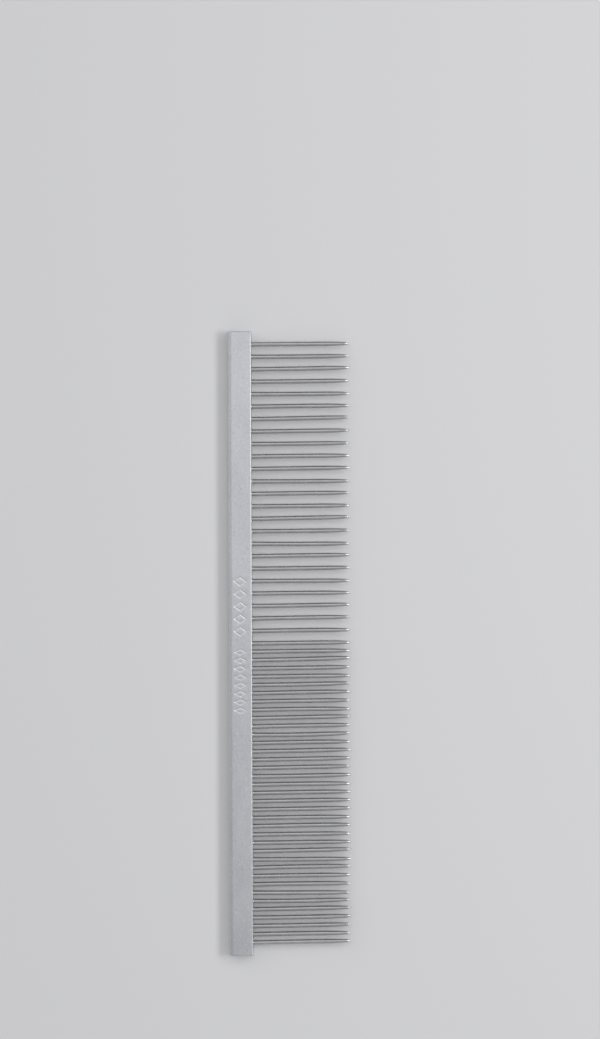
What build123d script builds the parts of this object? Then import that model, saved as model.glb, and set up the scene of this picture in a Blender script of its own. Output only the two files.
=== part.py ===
from build123d import *

import math
import os

# A steel grooming comb: a solid bar spine with wire teeth pressed into one of its narrow sides.
#
# The comb lies flat on a broad side of its spine. +Y runs along the spine towards the coarse end, +X from
# the spine towards the tooth tips, and +Z up through the spine's thickness. The origin is the centre of the
# broad face that it lies on. Lengths are in millimetres.

INCH = 25.4

# Spine: a solid steel bar.
SPINE_LENGTH = 7.5 * INCH
SPINE_WIDTH = 7.3
SPINE_THICKNESS = 4.8
BACK_EDGE_RADIUS = 1.3  # the edges that lie in the hand
TOOTH_EDGE_RADIUS = 0.4
END_EDGE_RADIUS = 0.3

# Teeth: round wire, ground to a slender ogive, then to a short cone that ends in a ball.
TOOTH_REACH = 30.0  # from the spine to the very tip
TOOTH_DIAMETER = 1.35
OGIVE_LENGTH = 7.0
OGIVE_END_DIAMETER = 1.0
SHOULDER_RADIUS = 1.6  # where the ogive turns in to the cone
CONE_SLOPE = math.radians(20)
BALL_RADIUS = 0.18
ROOT_CHAMFER = 0.15

# Sockets: blind holes that the teeth are pressed into, line to line, down to the floor.
SOCKET_DEPTH = 5.0
SOCKET_LEAD_IN = 0.12

# Two rows meet at the changeover tooth, which stands at the middle of the spine.
COARSE_PITCH = 0.15 * INCH
MEDIUM_PITCH = 0.10 * INCH
COARSE_GAPS = 24
MEDIUM_GAPS = 36

# Marks stamped into the upper broad face, one beside each tooth that they count from the middle.
MARK_HEIGHT = 4.2  # across the spine
MARK_FILL = 0.82  # how much of the tooth pitch a mark takes up
MARK_STROKE = 0.45
MARK_DEPTH = 0.10
COARSE_MARKS = 5
MEDIUM_MARKS = 8

# Worked out from the above.
TOOTH_RADIUS = TOOTH_DIAMETER / 2
TOOTH_SIDE = SPINE_WIDTH / 2
MID_HEIGHT = SPINE_THICKNESS / 2

COARSE_PLACES = [row * COARSE_PITCH for row in range(1, COARSE_GAPS)]
MEDIUM_PLACES = [-row * MEDIUM_PITCH for row in range(1, MEDIUM_GAPS)]
END_AND_MIDDLE_PLACES = [COARSE_GAPS * COARSE_PITCH, 0.0, -MEDIUM_GAPS * MEDIUM_PITCH]


def build_spine():
    """The bar with its sockets and stamped marks."""
    end_plane = Plane.XZ.offset(-SPINE_LENGTH / 2)
    tooth_side = Plane(origin=(TOOTH_SIDE, 0, MID_HEIGHT), x_dir=(0, 1, 0), z_dir=(1, 0, 0))
    upper_face = Plane.XY.offset(SPINE_THICKNESS)

    with BuildPart() as spine:
        with BuildSketch(end_plane):
            with Locations((0, MID_HEIGHT)):
                Rectangle(SPINE_WIDTH, SPINE_THICKNESS)
            fillet(vertices().group_by(Axis.X)[0], radius=BACK_EDGE_RADIUS)
            fillet(vertices().group_by(Axis.X)[-1], radius=TOOTH_EDGE_RADIUS)
        extrude(amount=SPINE_LENGTH)
        ends = spine.faces().filter_by(Axis.Y)
        fillet(ends.edges(), radius=END_EDGE_RADIUS)

        with BuildSketch(upper_face):
            for pitch, count in ((COARSE_PITCH, COARSE_MARKS), (-MEDIUM_PITCH, MEDIUM_MARKS)):
                half_length = abs(pitch) * MARK_FILL / 2
                tips = [(MARK_HEIGHT / 2, 0), (0, half_length), (-MARK_HEIGHT / 2, 0), (0, -half_length)]
                with Locations(*[(0, place * pitch) for place in range(1, count + 1)]):
                    Polygon(*tips)
            offset(amount=-MARK_STROKE, kind=Kind.INTERSECTION, mode=Mode.SUBTRACT)
        extrude(amount=-MARK_DEPTH, mode=Mode.SUBTRACT)

        with Locations(tooth_side):
            with Locations(*[(y, 0) for y in COARSE_PLACES + MEDIUM_PLACES + END_AND_MIDDLE_PLACES]):
                CounterSinkHole(
                    radius=TOOTH_RADIUS,
                    counter_sink_radius=TOOTH_RADIUS + SOCKET_LEAD_IN,
                    depth=SOCKET_DEPTH,
                    counter_sink_angle=90,
                )
    return spine


def build_teeth(places):
    """One tooth at each of the places along the spine."""
    root_x = TOOTH_SIDE - SOCKET_DEPTH
    tip_x = TOOTH_SIDE + TOOTH_REACH
    end_radius = OGIVE_END_DIAMETER / 2
    thinning = TOOTH_RADIUS - end_radius
    ogive_radius = (OGIVE_LENGTH**2 + thinning**2) / (2 * thinning)
    ogive_slope = math.asin(OGIVE_LENGTH / ogive_radius)
    # Worked out from the tip back, so that the shoulder meets both the ogive and the cone without a corner.
    cone_end_x = tip_x - BALL_RADIUS * (1 - math.sin(CONE_SLOPE))
    cone_end_radius = BALL_RADIUS * math.cos(CONE_SLOPE)
    cone_radius = end_radius - SHOULDER_RADIUS * (math.cos(ogive_slope) - math.cos(CONE_SLOPE))
    cone_x = cone_end_x - (cone_radius - cone_end_radius) / math.tan(CONE_SLOPE)
    ogive_end = cone_x - SHOULDER_RADIUS * (math.sin(CONE_SLOPE) - math.sin(ogive_slope))
    ogive_start = ogive_end - OGIVE_LENGTH

    with BuildPart() as teeth:
        for y in places:
            with BuildSketch(Plane(origin=(0, y, MID_HEIGHT))):
                with BuildLine():
                    Polyline(
                        (tip_x, 0),
                        (root_x, 0),
                        (root_x, TOOTH_RADIUS - ROOT_CHAMFER),
                        (root_x + ROOT_CHAMFER, TOOTH_RADIUS),
                        (ogive_start, TOOTH_RADIUS),
                    )
                    ogive = TangentArc((ogive_start, TOOTH_RADIUS), (ogive_end, end_radius), tangent=(1, 0))
                    shoulder = TangentArc(ogive @ 1, (cone_x, cone_radius), tangent=ogive % 1)
                    cone = Line(shoulder @ 1, (cone_end_x, cone_end_radius))
                    TangentArc(cone @ 1, (tip_x, 0), tangent=cone % 1)
                make_face()
            revolve(axis=Axis((0, y, MID_HEIGHT), (1, 0, 0)))
    return teeth


def save(piece, name):
    """Labels a finished piece and writes it as its own file."""
    piece.part.label = name
    export_step(piece.part, f"parts/{name}.step")


os.makedirs("parts", exist_ok=True)
save(build_spine(), "spine")
save(build_teeth(END_AND_MIDDLE_PLACES), "end_and_middle_teeth")
for number, y in enumerate(COARSE_PLACES, start=1):
    save(build_teeth([y]), f"coarse_tooth_{number:02d}")
for number, y in enumerate(MEDIUM_PLACES, start=1):
    save(build_teeth([y]), f"medium_tooth_{number:02d}")
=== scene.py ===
import math
import random

import bmesh
import bpy
from mathutils import Matrix, Vector


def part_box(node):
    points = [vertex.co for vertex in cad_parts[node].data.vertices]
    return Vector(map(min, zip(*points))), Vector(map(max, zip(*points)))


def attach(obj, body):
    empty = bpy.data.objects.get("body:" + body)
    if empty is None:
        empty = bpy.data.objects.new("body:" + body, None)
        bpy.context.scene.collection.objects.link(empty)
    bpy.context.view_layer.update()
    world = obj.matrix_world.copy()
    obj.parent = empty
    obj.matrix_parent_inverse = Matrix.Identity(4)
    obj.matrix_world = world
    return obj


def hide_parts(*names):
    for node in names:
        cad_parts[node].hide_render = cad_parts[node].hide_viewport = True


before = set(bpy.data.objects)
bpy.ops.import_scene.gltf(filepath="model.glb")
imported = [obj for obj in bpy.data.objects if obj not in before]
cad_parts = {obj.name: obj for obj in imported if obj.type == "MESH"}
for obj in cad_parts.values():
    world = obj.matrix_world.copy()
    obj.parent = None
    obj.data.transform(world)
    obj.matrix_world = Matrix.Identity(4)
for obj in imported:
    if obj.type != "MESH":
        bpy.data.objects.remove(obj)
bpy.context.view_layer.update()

# The looks of a steel grooming comb: a satin bar spine and polished wire teeth, each one built as a fine mesh
# in the place of its CAD solid. +Y runs along the spine to the coarse end, +X to the tooth tips, +Z up out
# of the marked face. Lengths are in metres, and MM turns millimetres into them.

MM = 0.001

# ---------------------------------------------------------------- sizes read from the frame

SPINE_LOW, SPINE_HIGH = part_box("spine")
BACK, TOOTH_SIDE = SPINE_LOW.x, SPINE_HIGH.x
UNDERSIDE, FACE = SPINE_LOW.z, SPINE_HIGH.z
SPINE_END = SPINE_HIGH.y


def place_of(node):
    """Where along the spine a tooth that has a node of its own stands."""
    low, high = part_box(node)
    return (low.y + high.y) / 2


coarse_nodes = sorted(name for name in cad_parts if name.startswith("coarse_tooth"))
medium_nodes = sorted(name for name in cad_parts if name.startswith("medium_tooth"))
COARSE_PITCH = place_of(coarse_nodes[1]) - place_of(coarse_nodes[0])
MEDIUM_PITCH = place_of(medium_nodes[0]) - place_of(medium_nodes[1])
MIDDLE_PLACE = place_of(coarse_nodes[0]) - COARSE_PITCH
COARSE_END_PLACE = place_of(coarse_nodes[-1]) + COARSE_PITCH
MEDIUM_END_PLACE = place_of(medium_nodes[-1]) - MEDIUM_PITCH

TOOTH_LOW, TOOTH_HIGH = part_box(coarse_nodes[0])
TOOTH_FOOT, TOOTH_TIP = TOOTH_LOW.x, TOOTH_HIGH.x
TOOTH_RADIUS = (TOOTH_HIGH.z - TOOTH_LOW.z) / 2
TOOTH_HEIGHT = (TOOTH_HIGH.z + TOOTH_LOW.z) / 2

# ---------------------------------------------------------------- sizes of the finish

BACK_EDGE_RADIUS = 1.3 * MM
TOOTH_EDGE_RADIUS = 0.4 * MM
END_EDGE_RADIUS = 0.3 * MM
EDGE_STEPS = 8  # facets round each long edge
END_STEPS = 5  # facets round each end edge
SUPPORT = 0.14 * MM  # the flat strip beside each rounded edge
END_EDGE_HIGHLIGHT = 0.5  # painted highlight along the rounded edges of the ends: how much paler their plate is painted, where a stamped groove is 1
SPINE_SHARP = math.radians(50)  # edges that turn more than this are drawn sharp
CELL_STEPS = 8  # grid steps along each side of a tooth's cell
LOOP_POINTS = 4 * CELL_STEPS  # points in a loop that sits in a cell

SOCKET_LEAD_IN = 0.12 * MM
SOCKET_LIP = 0.05 * MM  # how far the rounding of the mouth reaches past the lead-in
SOCKET_RUBBED = 0.6  # how rubbed the mouth is, where a stamped groove is 1

MARK_HEIGHT = 4.2 * MM
MARK_FILL = 0.82  # a lozenge's length, as a share of its tooth's stretch of the spine
MARK_STROKE = 0.45 * MM
MARK_DEPTH = 0.10 * MM
MARK_CORNER = 0.14 * MM
SMALLEST_CORNER = 0.02 * MM  # what stays of a corner's radius further in
COARSE_MARKS = 5
MEDIUM_MARKS = 8
# A groove's shape from its edge to its middle line: (share of the stroke, share of the depth, how much paler
# the plate there is painted: rubbed plate and a painted highlight).
GROOVE_WALL = [(-0.16, 0.0, 0.0), (-0.04, 0.03, 0.5), (0.08, 0.22, 1.0), (0.30, 0.78, 1.0), (0.50, 1.0, 1.0)]

TOOTH_SIDES = 36
TOOTH_SHARP = math.radians(40)
SHANK_RINGS = 14
OGIVE_RINGS = 12
SHOULDER_RINGS = 6
CONE_RINGS = 3
BALL_RINGS = 6
FOOT_CHAMFER = 0.15 * MM
FIT_GAP = 0.004 * MM  # keeps a tooth's skin off its socket's
OGIVE_LENGTH = 7.0 * MM
OGIVE_END_RADIUS = 0.5 * MM
SHOULDER_RADIUS = 1.6 * MM
CONE_SLOPE = math.radians(20)
BALL_RADIUS = 0.18 * MM
MENISCUS = 0.035 * MM  # how thick the plating gathers round a tooth where it leaves the spine
MENISCUS_LENGTH = 2 * MENISCUS
MENISCUS_RINGS = (-0.5, 0.0, 0.35, 0.8, 1.3, 2.0)  # where its rings stand, in its lengths out from the spine
MENISCUS_FALL = 0.75  # how far out it has thinned to a third, in its lengths
SHANK_START = 2.5  # where the plain shank begins, in its lengths

# How the wires really stand: every one leans a little towards the coarse end, no two alike.
SEED = 61
COARSE_LEAN = math.radians(0.55)
MEDIUM_LEAN = math.radians(0.85)
LEAN_SPREAD = math.radians(0.22)
RISE_SPREAD = math.radians(0.22)
BOW_SPREAD = 0.06 * MM
MOST_GROUND_SHORT = 0.25 * MM


# ---------------------------------------------------------------- mesh helpers


class Surface:
    """Points and faces being gathered for one mesh, with how much paler each point's plate is painted: rubbed
    plate and painted highlight.
    """

    def __init__(self):
        self.points = []
        self.rubbed_and_highlight = []
        self.faces = []

    def point(self, x, y, z, rubbed_and_highlight=0.0):
        self.points.append((x, y, z))
        self.rubbed_and_highlight.append(rubbed_and_highlight)
        return len(self.points) - 1

    def band(self, first, second):
        """Quads between two closed loops of as many points."""
        for here in range(len(first)):
            after = (here + 1) % len(first)
            self.faces.append((first[here], first[after], second[after], second[here]))

    def fan(self, loop, tip):
        """Triangles from a closed loop to one point."""
        for here in range(len(loop)):
            self.faces.append((loop[here], loop[(here + 1) % len(loop)], tip))

    def finished(self, name, sharp_angle):
        """The mesh as an object, smooth but for its sharp edges, with its outward side out."""
        mesh = bpy.data.meshes.new(name)
        mesh.from_pydata(self.points, [], self.faces)
        rubbed_and_highlight = mesh.attributes.new("rubbed_and_highlight", "FLOAT", "POINT")
        rubbed_and_highlight.data.foreach_set("value", self.rubbed_and_highlight)
        editable = bmesh.new()
        editable.from_mesh(mesh)
        bmesh.ops.recalc_face_normals(editable, faces=editable.faces)
        editable.to_mesh(mesh)
        editable.free()
        mesh.shade_smooth()
        mesh.set_sharp_from_angle(angle=sharp_angle)
        piece = bpy.data.objects.new(name, mesh)
        bpy.context.scene.collection.objects.link(piece)
        return piece


# ---------------------------------------------------------------- the spine


def flat_side(start, end, steps):
    """Points along a flat side of the section: its ends, its support points, and even steps between those."""
    start, end = Vector(start), Vector(end)
    along = (end - start).normalized() * SUPPORT
    inner = [(start + along).lerp(end - along, step / steps) for step in range(steps + 1)]
    return [start, *inner, end]


def spine_section():
    """The bar's section as (x, z, outward x, outward z), from the foot of the tooth side and on round by the
    marked face, the back and the underside. Each side is followed by its rounded edge."""
    crisp, soft = TOOTH_EDGE_RADIUS, BACK_EDGE_RADIUS
    sides = [
        ((TOOTH_SIDE, UNDERSIDE + crisp), (TOOTH_SIDE, FACE - crisp), (1, 0), CELL_STEPS, crisp),
        ((TOOTH_SIDE - crisp, FACE), (BACK + soft, FACE), (0, 1), CELL_STEPS, soft),
        ((BACK, FACE - soft), (BACK, UNDERSIDE + soft), (-1, 0), 2, soft),
        ((BACK + soft, UNDERSIDE), (TOOTH_SIDE - crisp, UNDERSIDE), (0, -1), 2, crisp),
    ]
    section = []
    for start, end, outward, steps, radius in sides:
        section += [(point.x, point.y, *outward) for point in flat_side(start, end, steps)]
        centre = Vector(end) - Vector(outward) * radius
        first_angle = math.atan2(outward[1], outward[0])
        for step in range(1, EDGE_STEPS):
            angle = first_angle + step / EDGE_STEPS * math.pi / 2
            out_x, out_z = math.cos(angle), math.sin(angle)
            section.append((centre.x + radius * out_x, centre.y + radius * out_z, out_x, out_z))
    return section


def spine_cells():
    """Each tooth's stretch of the spine, from the medium end to the coarse end, as (low y, place, high y)."""
    places = [MEDIUM_END_PLACE]
    places += [place_of(node) for node in reversed(medium_nodes)]
    places += [MIDDLE_PLACE]
    places += [place_of(node) for node in coarse_nodes]
    places += [COARSE_END_PLACE]
    borders = [(near + far) / 2 for near, far in zip(places, places[1:])]
    borders = [places[0] - MEDIUM_PITCH / 2, *borders, places[-1] + COARSE_PITCH / 2]
    return list(zip(borders, places, borders[1:]))


def end_stations():
    """Where rings stand near an end, as (distance from it, how far the section is drawn in there, how much
    paler the plate there is painted: a painted highlight along the end's edge).
    """
    rounding = []
    for step in range(END_STEPS + 1):
        angle = math.pi / 2 * step / END_STEPS
        inset, drawn_in = 1 - math.cos(angle), 1 - math.sin(angle)
        # Painted highlight: the plate is painted paler over the middle of each end's rounding.
        rubbed_and_highlight = END_EDGE_HIGHLIGHT * math.sin(2 * angle)
        rounding.append((END_EDGE_RADIUS * inset, END_EDGE_RADIUS * drawn_in, rubbed_and_highlight))
    return [*rounding, (END_EDGE_RADIUS + SUPPORT, 0.0, 0.0)]


def cell_border(rings, first_ring, first_column):
    """The loop of points round a cell of the grid that the rings make. It starts at the cell's low corner and
    runs along the section first."""
    steps = range(CELL_STEPS)
    last_ring, last_column = first_ring + CELL_STEPS, first_column + CELL_STEPS
    border = [rings[first_ring][first_column + step] for step in steps]
    border += [rings[first_ring + step][last_column] for step in steps]
    border += [rings[last_ring][last_column - step] for step in steps]
    border += [rings[last_ring - step][first_column] for step in steps]
    return border


def circle(radius):
    """A circle's points in the order of a cell's border, as (along the spine, along the section)."""
    angles = [math.radians(225) - 2 * math.pi * step / LOOP_POINTS for step in range(LOOP_POINTS)]
    return [(radius * math.cos(angle), radius * math.sin(angle)) for angle in angles]


def lozenge(half_length, half_height, inset):
    """The points of a lozenge with rounded corners, drawn in by inset, in the order of a cell's border."""
    corner = max(MARK_CORNER - inset, SMALLEST_CORNER)
    edge_distance = half_length * half_height / math.hypot(half_length, half_height)
    core = 1 - (inset + corner) / edge_distance
    lean = math.atan2(half_length, half_height)  # from the spine's direction to an edge's outward normal
    arc_steps = CELL_STEPS // 2
    points = []
    tips = [(math.pi, half_length, math.pi / 2 - lean), (math.pi / 2, half_height, lean)] * 2
    for number, (direction, reach, half_turn) in enumerate(tips):
        direction -= math.pi * (number // 2)
        centre = Vector((math.cos(direction), math.sin(direction))) * reach * core
        arc = []
        for step in range(arc_steps + 1):
            angle = direction + half_turn * (1 - 2 * step / arc_steps)
            arc.append(centre + Vector((math.cos(angle), math.sin(angle))) * corner)
        points.append(arc)
    loop = []
    for before, arc, after in zip([points[-1], *points], points, [*points[1:], points[0]]):
        edge_in = before[-1].lerp(arc[0], 0.5)
        edge_out = arc[-1].lerp(after[0], 0.5)
        loop += [edge_in, edge_in.lerp(arc[0], 0.5), *arc, arc[-1].lerp(edge_out, 0.5)]
    return [(point.x, point.y) for point in loop]


def add_socket(skin, border, place):
    """Closes a cell of the tooth side with a blind socket whose mouth is rounded by the plating."""
    middle = (UNDERSIDE + FACE) / 2
    mouth = [(SOCKET_LEAD_IN + SOCKET_LIP, 0.0, 0.0), (SOCKET_LEAD_IN, SOCKET_LIP / 4, SOCKET_RUBBED)]
    wall = [(0.0, SOCKET_LEAD_IN, 0.0), (0.0, TOOTH_SIDE - TOOTH_FOOT, 0.0)]
    for widened, depth, rubbed_and_highlight in mouth + wall:
        loop = [
            skin.point(TOOTH_SIDE - depth, place + along, middle + across, rubbed_and_highlight)
            for along, across in circle(TOOTH_RADIUS + widened)
        ]
        skin.band(border, loop)
        border = loop
    skin.faces.append(tuple(border))


def add_mark(skin, border, place, half_length):
    """Closes a cell of the marked face with a stamped lozenge: a groove round a flat island."""
    far_wall = [(1 - share, depth, rubbed_and_highlight) for share, depth, rubbed_and_highlight in reversed(GROOVE_WALL[:-1])]
    # Painted highlight, partly rubbed plate: each ring of the groove carries how much paler its plate is
    # painted.
    for share, depth, rubbed_and_highlight in GROOVE_WALL + far_wall:
        loop = [
            skin.point(-across, place + along, FACE - depth * MARK_DEPTH, rubbed_and_highlight)
            for along, across in lozenge(half_length, MARK_HEIGHT / 2, share * MARK_STROKE)
        ]
        skin.band(border, loop)
        border = loop
    skin.faces.append(tuple(border))


def build_spine():
    skin = Surface()
    section = spine_section()
    all_cells = spine_cells()
    end = end_stations()
    rows = [(-SPINE_END + distance, drawn_in, rubbed_and_highlight) for distance, drawn_in, rubbed_and_highlight in end]
    first_cell_row = len(rows)
    rows.append((all_cells[0][0], 0.0, 0.0))
    for low, _, high in all_cells:
        rows += [(low + (high - low) * (step + 1) / CELL_STEPS, 0.0, 0.0) for step in range(CELL_STEPS)]
    rows += [(SPINE_END - distance, drawn_in, rubbed_and_highlight) for distance, drawn_in, rubbed_and_highlight in reversed(end)]
    rings = [
        [
            skin.point(x - out_x * drawn_in, y, z - out_z * drawn_in, rubbed_and_highlight)
            for x, z, out_x, out_z in section
        ]
        for y, drawn_in, rubbed_and_highlight in rows
    ]

    socket_column = 1
    mark_column = socket_column + CELL_STEPS + 2 + EDGE_STEPS
    filled = set()

    def taken(first_ring, first_column):
        for row in range(first_ring, first_ring + CELL_STEPS):
            filled.update((row, column) for column in range(first_column, first_column + CELL_STEPS))
        return cell_border(rings, first_ring, first_column)

    middle_cell = len(medium_nodes) + 1
    for number, (low, place, high) in enumerate(all_cells):
        first_ring = first_cell_row + number * CELL_STEPS
        add_socket(skin, taken(first_ring, socket_column), place)
        from_middle = number - middle_cell
        if 1 <= from_middle <= COARSE_MARKS or 1 <= -from_middle <= MEDIUM_MARKS:
            add_mark(skin, taken(first_ring, mark_column), place, (high - low) * MARK_FILL / 2)

    for row, (ring, next_ring) in enumerate(zip(rings, rings[1:])):
        for column in range(len(section)):
            if (row, column) not in filled:
                after = (column + 1) % len(section)
                skin.faces.append((ring[column], ring[after], next_ring[after], next_ring[column]))
    skin.faces.append(tuple(rings[0]))
    skin.faces.append(tuple(rings[-1]))
    return skin.finished("satin_spine", SPINE_SHARP)


# ---------------------------------------------------------------- the teeth


def tooth_profile(ground_short):
    """A tooth's outline from its foot to its nose, as (x, radius), with the tip ground short by that much."""
    buried = TOOTH_RADIUS - FIT_GAP
    profile = [(TOOTH_FOOT + FIT_GAP, buried - FOOT_CHAMFER), (TOOTH_FOOT + FOOT_CHAMFER, buried)]
    profile += [(TOOTH_SIDE - SOCKET_LEAD_IN, buried)]
    for out in MENISCUS_RINGS:
        swelling = MENISCUS * math.exp(-((out / MENISCUS_FALL) ** 2))
        profile.append((TOOTH_SIDE + out * MENISCUS_LENGTH, TOOTH_RADIUS + swelling - FIT_GAP))

    thinning = TOOTH_RADIUS - OGIVE_END_RADIUS
    ogive_radius = (OGIVE_LENGTH**2 + thinning**2) / (2 * thinning)
    ogive_slope = math.asin(OGIVE_LENGTH / ogive_radius)
    ball_x = TOOTH_TIP - ground_short - BALL_RADIUS
    cone_end = Vector((ball_x + BALL_RADIUS * math.sin(CONE_SLOPE), BALL_RADIUS * math.cos(CONE_SLOPE)))
    cone_radius = OGIVE_END_RADIUS - SHOULDER_RADIUS * (math.cos(ogive_slope) - math.cos(CONE_SLOPE))
    cone_start = Vector((cone_end.x - (cone_radius - cone_end.y) / math.tan(CONE_SLOPE), cone_radius))
    shoulder = cone_start - SHOULDER_RADIUS * Vector((math.sin(CONE_SLOPE), math.cos(CONE_SLOPE)))
    ogive_start = shoulder.x + SHOULDER_RADIUS * math.sin(ogive_slope) - OGIVE_LENGTH

    shank_start = TOOTH_SIDE + SHANK_START * MENISCUS_LENGTH
    profile += [
        (shank_start + (ogive_start - shank_start) * step / SHANK_RINGS, TOOTH_RADIUS)
        for step in range(SHANK_RINGS + 1)
    ]
    for step in range(1, OGIVE_RINGS + 1):
        along = OGIVE_LENGTH * step / OGIVE_RINGS
        sunk = ogive_radius - math.sqrt(ogive_radius**2 - along**2)
        profile.append((ogive_start + along, TOOTH_RADIUS - sunk))
    for step in range(1, SHOULDER_RINGS + 1):
        slope = ogive_slope + (CONE_SLOPE - ogive_slope) * step / SHOULDER_RINGS
        turned = shoulder + SHOULDER_RADIUS * Vector((math.sin(slope), math.cos(slope)))
        profile.append(tuple(turned))
    profile += [tuple(cone_start.lerp(cone_end, step / CONE_RINGS)) for step in range(1, CONE_RINGS + 1)]
    for step in range(1, BALL_RINGS):
        slope = CONE_SLOPE + (math.pi / 2 - CONE_SLOPE) * step / BALL_RINGS
        profile.append((ball_x + BALL_RADIUS * math.sin(slope), BALL_RADIUS * math.cos(slope)))
    return profile, ball_x + BALL_RADIUS


def build_tooth(name, place, mean_lean, chance):
    """One wire tooth, pressed into the spine at that place, with its own small lean, rise, bow and length."""
    lean = math.tan(chance.gauss(mean_lean, LEAN_SPREAD))
    rise = math.tan(chance.gauss(0, RISE_SPREAD))
    bow = Vector((chance.gauss(0, BOW_SPREAD), chance.gauss(0, BOW_SPREAD)))
    spin = chance.uniform(0, 2 * math.pi)
    profile, tip = tooth_profile(chance.uniform(0, MOST_GROUND_SHORT))

    def line(x):
        """The tooth's own middle line at x, as (y, z)."""
        out = max(0.0, x - TOOTH_SIDE)
        share = out / (TOOTH_TIP - TOOTH_SIDE)
        arch = 4 * share * (1 - share)
        return place + lean * out + bow.x * arch, TOOTH_HEIGHT + rise * out + bow.y * arch

    skin = Surface()
    foot_y, foot_z = line(TOOTH_FOOT)
    previous = skin.point(TOOTH_FOOT + FIT_GAP, foot_y, foot_z)
    for x, radius in profile:
        y, z = line(x)
        angles = [spin + 2 * math.pi * side / TOOTH_SIDES for side in range(TOOTH_SIDES)]
        ring = [skin.point(x, y + radius * math.cos(angle), z + radius * math.sin(angle)) for angle in angles]
        if isinstance(previous, int):
            skin.fan(ring, previous)
        else:
            skin.band(previous, ring)
        previous = ring
    tip_y, tip_z = line(tip)
    skin.fan(previous, skin.point(tip, tip_y, tip_z))
    return skin.finished(name, TOOTH_SHARP)


# ---------------------------------------------------------------- materials


def rgba(red, green, blue):
    return (red, green, blue, 1.0)


SATIN_DARKER = rgba(0.592, 0.598, 0.629)
SATIN_PALER = rgba(0.642, 0.648, 0.677)
SATIN_ROUGHNESS = 0.33
SPARKLE = rgba(0.90, 0.905, 0.92)
PIT = rgba(0.35, 0.35, 0.36)
# The paler plate of scratches and rubbed places, also painted into the marks' grooves and onto the ends'
# edges as a painted highlight.
RUBBED_AND_HIGHLIGHT_PLATE = rgba(0.80, 0.805, 0.82)
# What the mottle does to the satin plate: (noise from, to, share of the tint there and there, tint).
MOTTLE_TINTS = [
    (0.35, 0.65, 0.0, 0.14, SPARKLE),  # the even sparkle of the blasting
    (0.66, 0.72, 0.0, 0.35, SPARKLE),  # a few bright flecks
    (0.27, 0.33, 0.35, 0.0, PIT),  # a few dark pits
]

SHORT_SCRATCHES = 7  # besides the long one near the medium end
LONG_SCRATCH_START = (-1.2 * MM, -81.9 * MM, FACE)
LONG_SCRATCH_END = (1.7 * MM, -84.9 * MM, FACE)
LONG_SCRATCH_WIDTH = 0.13 * MM
SCRATCH_SHOWS = 0.7  # how much a hairline shows, where rubbed plate is 1

WIRE_DARKER = rgba(0.505, 0.503, 0.507)
WIRE_PALER = rgba(0.555, 0.552, 0.556)
# painted highlight, partly polished plate: the paler colour painted over the tip
WIRE_TIP_HIGHLIGHT = rgba(0.64, 0.645, 0.66)
WIRE_EDGE_TINT = rgba(0.55, 0.56, 0.58)  # what a glancing reflection is toned down by
WIRE_ROUGHNESS = 0.24
OGIVE_START = TOOTH_TIP - OGIVE_LENGTH  # near enough for the looks: the shoulder and the cone are short


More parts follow.
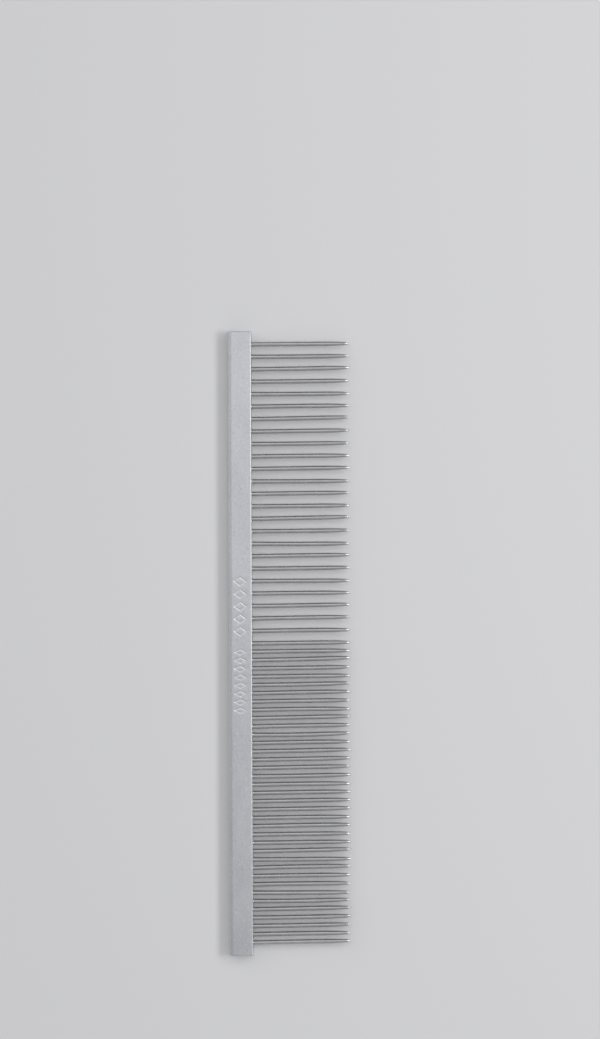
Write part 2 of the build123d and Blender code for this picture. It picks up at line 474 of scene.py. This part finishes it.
class Shader:
    """A material's nodes, with short ways to add and join them."""

    def __init__(self, name):
        self.material = bpy.data.materials.new(name)
        self.material.use_nodes = True
        self.nodes = self.material.node_tree.nodes
        self.links = self.material.node_tree.links
        self.surface = self.nodes["Principled BSDF"]
        self.place = self.node("ShaderNodeTexCoord").outputs["Object"]

    def node(self, kind, **settings):
        made = self.nodes.new(kind)
        for setting, value in settings.items():
            setattr(made, setting, value)
        return made

    def feed(self, socket, value):
        """Sets a socket to a number, or joins it to another node's output."""
        if isinstance(value, bpy.types.NodeSocket):
            self.links.new(value, socket)
        else:
            socket.default_value = value

    def math(self, operation, first, second=0.0, third=0.0):
        made = self.node("ShaderNodeMath", operation=operation)
        for socket, value in zip(made.inputs, (first, second, third)):
            self.feed(socket, value)
        return made.outputs["Value"]

    def vector(self, operation, first, second=None):
        made = self.node("ShaderNodeVectorMath", operation=operation)
        self.feed(made.inputs[0], first)
        if second is not None:
            self.feed(made.inputs[1], second)
        return made

    def stretched(self, scale):
        """The place on the object, scaled for each axis: noise there has about that many cells a metre."""
        return self.vector("MULTIPLY", self.place, scale).outputs["Vector"]

    def noise(self, place, detail=2.0, roughness=0.5):
        made = self.node("ShaderNodeTexNoise")
        self.feed(made.inputs["Vector"], place)
        made.inputs["Scale"].default_value = 1.0
        made.inputs["Detail"].default_value = detail
        made.inputs["Roughness"].default_value = roughness
        return made.outputs["Fac"]

    def ramp(self, value, low, high, result_low=0.0, result_high=1.0):
        """value from low to high turned smoothly into result_low to result_high."""
        made = self.node("ShaderNodeMapRange", interpolation_type="SMOOTHSTEP")
        for socket, number in zip(made.inputs, (value, low, high, result_low, result_high)):
            self.feed(socket, number)
        return made.outputs["Result"]

    def blend(self, share, first, second):
        """One colour turning into another as share goes from 0 to 1."""
        made = self.node("ShaderNodeMix", data_type="RGBA")
        self.feed(made.inputs["Factor"], share)
        self.feed(made.inputs["A"], first)
        self.feed(made.inputs["B"], second)
        return made.outputs["Result"]

    def bump(self, height, depth, below=None):
        """Relief of that depth in metres, laid over the relief below."""
        made = self.node("ShaderNodeBump")
        made.inputs["Distance"].default_value = depth
        self.feed(made.inputs["Height"], height)
        if below is not None:
            self.feed(made.inputs["Normal"], below)
        return made.outputs["Normal"]

    def scratch(self, start, end, width):
        """How near each place is to a straight hairline between two points: 1 on it, 0 beside it."""
        start, end = Vector(start), Vector(end)
        offset = self.vector("SUBTRACT", self.place, start).outputs["Vector"]
        along = self.vector("DOT_PRODUCT", offset, (end - start) / (end - start).length_squared)
        share = self.math("MAXIMUM", self.math("MINIMUM", along.outputs["Value"], 1.0), 0.0)
        nearest = self.node("ShaderNodeVectorMath", operation="SCALE")
        nearest.inputs[0].default_value = end - start
        self.feed(nearest.inputs["Scale"], share)
        gap = self.vector("DISTANCE", offset, nearest.outputs["Vector"]).outputs["Value"]
        return self.ramp(gap, 0.0, width, 1.0, 0.0)


def satin_metal():
    """Blasted and plated steel: a fine mottle and grain, faint lines along the bar, a few hairline scratches,
    and plate painted paler in the marks and on the ends' edges, partly rubbed plate and partly a painted
    highlight."""
    shader = Shader("satin_metal")
    grain = shader.noise(shader.stretched((5200, 5200, 5200)), detail=3.0, roughness=0.6)
    lines = shader.noise(shader.stretched((7000, 190, 7000)), detail=2.0)
    clouds = shader.noise(shader.stretched((170, 60, 170)), detail=4.0, roughness=0.55)
    mottle = shader.noise(shader.stretched((1500, 1300, 1500)), detail=2.0)
    rubbed_and_highlight = shader.node("ShaderNodeAttribute", attribute_name="rubbed_and_highlight").outputs["Fac"]

    # The short scratches lie anywhere on the marked face, most of them nearly along it.
    chance = random.Random(SEED)
    hairlines = shader.scratch(LONG_SCRATCH_START, LONG_SCRATCH_END, LONG_SCRATCH_WIDTH)
    for _ in range(SHORT_SCRATCHES):
        start = Vector((chance.uniform(-3, 3) * MM, chance.uniform(-90, 90) * MM, FACE))
        angle = chance.gauss(math.pi / 2, 0.5)
        reach = chance.uniform(1.5, 5) * MM
        end = start + Vector((math.cos(angle), math.sin(angle), 0)) * reach
        mark = shader.scratch(start, end, chance.uniform(0.05, 0.10) * MM)
        hairlines = shader.math("MAXIMUM", hairlines, mark)

    colour = shader.blend(shader.ramp(clouds, 0.3, 0.7), SATIN_DARKER, SATIN_PALER)
    for low, high, share_low, share_high, tint in MOTTLE_TINTS:
        colour = shader.blend(shader.ramp(mottle, low, high, share_low, share_high), colour, tint)
    # The marks' grooves and the ends' edges take the paler plate as a painted highlight, partly rubbed plate;
    # the sockets' mouths and the scratches take it as wear.
    scuffs_and_highlight = shader.math("MAXIMUM", rubbed_and_highlight, shader.math("MULTIPLY", hairlines, SCRATCH_SHOWS))
    colour = shader.blend(scuffs_and_highlight, colour, RUBBED_AND_HIGHLIGHT_PLATE)
    shader.feed(shader.surface.inputs["Base Color"], colour)
    shader.surface.inputs["Metallic"].default_value = 1.0

    roughness = SATIN_ROUGHNESS
    for cause, change in ((clouds, 0.10), (lines, 0.05), (rubbed_and_highlight, -0.04), (hairlines, -0.10)):
        roughness = shader.math("MULTIPLY_ADD", cause, change, roughness)
    shader.feed(shader.surface.inputs["Roughness"], roughness)

    relief = shader.bump(clouds, 0.020 * MM)
    relief = shader.bump(lines, 0.0022 * MM, relief)
    relief = shader.bump(grain, 0.0050 * MM, relief)
    relief = shader.bump(shader.math("SUBTRACT", 1.0, hairlines), 0.006 * MM, relief)
    shader.feed(shader.surface.inputs["Normal"], relief)
    return shader.material


def polished_wire():
    """Drawn wire under bright plate: fine lines along the shank, ground across and a little rougher over the
    ogive, and painted paler at the very tip, a painted highlight on partly polished plate."""
    shader = Shader("polished_wire")
    axes = shader.node("ShaderNodeSeparateXYZ")
    shader.feed(axes.inputs["Vector"], shader.place)
    along = axes.outputs["X"]
    ground = shader.ramp(along, OGIVE_START - 1.0 * MM, OGIVE_START + 1.5 * MM)
    polished_tip_highlight = shader.ramp(along, TOOTH_TIP - 1.9 * MM, TOOTH_TIP - 1.3 * MM)
    drawn = shader.noise(shader.stretched((260, 9000, 9000)), detail=2.0)
    turned = shader.noise(shader.stretched((11000, 700, 700)), detail=2.0)
    clouds = shader.noise(shader.stretched((240, 240, 240)), detail=3.0)

    colour = shader.blend(shader.ramp(clouds, 0.3, 0.7), WIRE_DARKER, WIRE_PALER)
    # Painted highlight: the tip is painted paler from about 1.9 mm before its end, partly polished plate, to
    # brighten its glint.
    colour = shader.blend(polished_tip_highlight, colour, WIRE_TIP_HIGHLIGHT)
    shader.feed(shader.surface.inputs["Base Color"], colour)
    shader.surface.inputs["Metallic"].default_value = 1.0
    shader.surface.inputs["Specular Tint"].default_value = WIRE_EDGE_TINT

    roughness = shader.math("MULTIPLY_ADD", clouds, 0.06, WIRE_ROUGHNESS)
    roughness = shader.math("MULTIPLY_ADD", ground, 0.03, roughness)
    shader.feed(shader.surface.inputs["Roughness"], roughness)

    lines = shader.math("MULTIPLY", drawn, shader.math("SUBTRACT", 1.0, ground))
    lines = shader.math("MULTIPLY_ADD", turned, ground, lines)
    shader.feed(shader.surface.inputs["Normal"], shader.bump(lines, 0.0006 * MM))
    return shader.material


def pale_floor():
    shader = Shader("pale_floor")
    shader.surface.inputs["Base Color"].default_value = rgba(0.85, 0.852, 0.855)
    shader.surface.inputs["Roughness"].default_value = 0.85
    return shader.material


# ---------------------------------------------------------------- the comb, put together


def finish_spine():
    piece = build_spine()
    piece.data.materials.append(satin_metal())
    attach(piece, "root")
    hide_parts("spine")


def finish_teeth():
    chance = random.Random(SEED)
    wire = polished_wire()
    teeth = [("coarse_end_wire", "end_and_middle_teeth", COARSE_END_PLACE, COARSE_LEAN)]
    for node in reversed(coarse_nodes):
        teeth.append((node.replace("tooth", "wire"), node, place_of(node), COARSE_LEAN))
    teeth.append(("middle_wire", "end_and_middle_teeth", MIDDLE_PLACE, (COARSE_LEAN + MEDIUM_LEAN) / 2))
    for node in medium_nodes:
        teeth.append((node.replace("tooth", "wire"), node, place_of(node), MEDIUM_LEAN))
    teeth.append(("medium_end_wire", "end_and_middle_teeth", MEDIUM_END_PLACE, MEDIUM_LEAN))
    for name, node, place, lean in teeth:
        piece = build_tooth(name, place, lean, chance)
        piece.data.materials.append(wire)
        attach(piece, "root")
        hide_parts(node)


# ---------------------------------------------------------------- floor, light and camera


def lay_floor():
    """A wide plain floor, a hair below the comb."""
    half = 3.0
    height = UNDERSIDE - 0.02 * MM
    mesh = bpy.data.meshes.new("floor")
    corners = [(-half, -half), (half, -half), (half, half), (-half, half)]
    mesh.from_pydata([(x, y, height) for x, y in corners], [], [(0, 1, 2, 3)])
    floor = bpy.data.objects.new("floor", mesh)
    bpy.context.scene.collection.objects.link(floor)
    mesh.materials.append(pale_floor())


def add_softbox(name, place, aim, width, height, power):
    """A soft rectangular light at place that points at aim."""
    light = bpy.data.lights.new(name, "AREA")
    light.shape = "RECTANGLE"
    light.size = width
    light.size_y = height
    light.energy = power
    lamp = bpy.data.objects.new(name, light)
    lamp.location = place
    lamp.rotation_euler = (Vector(aim) - Vector(place)).to_track_quat("-Z", "Y").to_euler()
    lamp.visible_camera = False
    bpy.context.scene.collection.objects.link(lamp)


def light_room():
    """Soft studio light. The sky is pale, but dark low down towards +Y and dim low down towards -Y, so that
    the wires are outlined. A wall on the back side is paler towards the coarse end, and a dim screen stands
    on the tooth side. Two lights stand high on the tooth side: the key is wide and lights the marks, and the
    side light falls square across the spine, so that the floor between the wires stays lit. A broad light
    hangs over the coarse end."""
    world = bpy.data.worlds.new("studio")
    bpy.context.scene.world = world
    world.use_nodes = True
    nodes, links = world.node_tree.nodes, world.node_tree.links
    direction = nodes.new("ShaderNodeTexCoord").outputs["Generated"]
    parts = nodes.new("ShaderNodeSeparateXYZ")
    links.new(direction, parts.inputs["Vector"])

    def share(value, low, high):
        """How far value has come from low to high, smoothly, as 0 to 1."""
        made = nodes.new("ShaderNodeMapRange")
        made.interpolation_type = "SMOOTHSTEP"
        made.inputs["From Min"].default_value = low
        made.inputs["From Max"].default_value = high
        links.new(value, made.inputs["Value"])
        return made.outputs["Result"]

    def mix(factor, first, second):
        """One colour, or a node's colour, turning into another as factor goes from 0 to 1."""
        made = nodes.new("ShaderNodeMix")
        made.data_type = "RGBA"
        links.new(factor, made.inputs["Factor"])
        for socket, colour in ((made.inputs["A"], first), (made.inputs["B"], second)):
            if isinstance(colour, tuple):
                socket.default_value = colour
            else:
                links.new(colour, socket)
        return made.outputs["Result"]

    # Directions are unit vectors, so each of their parts runs from -1 to 1. How high one points is measured
    # on a leaning axis, which lets the sky reach lower towards -Y.
    leaning = nodes.new("ShaderNodeVectorMath")
    leaning.operation = "DOT_PRODUCT"
    leaning.inputs[1].default_value = (0.0, -0.15, 1.0)
    links.new(direction, leaning.inputs[0])
    backward = nodes.new("ShaderNodeMath")
    backward.operation = "MULTIPLY"
    backward.inputs[1].default_value = -1.0
    links.new(parts.outputs["X"], backward.inputs[0])

    low_dim, low_dark = rgba(0.21, 0.21, 0.216), rgba(0.03, 0.03, 0.032)
    high_pale, high_dim = rgba(0.51, 0.51, 0.52), rgba(0.44, 0.44, 0.45)
    wall_dim, wall_pale = rgba(0.17, 0.17, 0.175), rgba(0.87, 0.87, 0.88)
    screen = rgba(0.20, 0.20, 0.205)
    horizon = mix(share(parts.outputs["Y"], -0.4, 0.4), low_dim, low_dark)
    above = mix(share(parts.outputs["Y"], -0.6, 0.3), high_pale, high_dim)
    sky = mix(share(leaning.outputs["Value"], 0.10, 0.50), horizon, above)
    wall = mix(share(parts.outputs["Y"], -0.4, 0.2), wall_dim, wall_pale)
    walled = mix(share(backward.outputs["Value"], 0.15, 0.75), sky, wall)
    screened = mix(share(parts.outputs["X"], 0.3, 0.7), walled, screen)
    links.new(screened, nodes["Background"].inputs["Color"])

    add_softbox("key", place=(0.75, 0.38, 0.86), aim=(0.015, 0.0, 0.0), width=0.75, height=0.23, power=1.9)
    add_softbox("side", place=(0.75, 0.0, 0.86), aim=(0.015, 0.0, 0.0), width=0.30, height=0.30, power=2.3)
    add_softbox("overhead", place=(0.0, 0.42, 1.25), aim=(0.0, 0.05, 0.0), width=1.0, height=1.0, power=1.65)


def set_camera():
    """Looks straight down from far off, with the comb standing left of the middle and low in a tall frame."""
    frame_height = 316.8 * MM  # what the tall side takes in at the marked face
    camera = bpy.data.cameras.new("camera")
    camera.sensor_width = 36
    camera.lens = 100
    distance = frame_height * camera.lens / camera.sensor_width
    roll = math.radians(-0.2)
    # From the comb's middle to the frame's, along the frame's own sides.
    aside = Vector((18.2 * MM, 37.9 * MM))
    aside.rotate(Matrix.Rotation(roll, 2))
    viewer = bpy.data.objects.new("camera", camera)
    viewer.location = (aside.x, aside.y, FACE + distance)
    viewer.rotation_euler = (0, 0, roll)
    bpy.context.scene.collection.objects.link(viewer)
    bpy.context.scene.camera = viewer


finish_spine()
finish_teeth()
lay_floor()
light_room()
set_camera()
bpy.context.scene.view_settings.view_transform = "Standard"
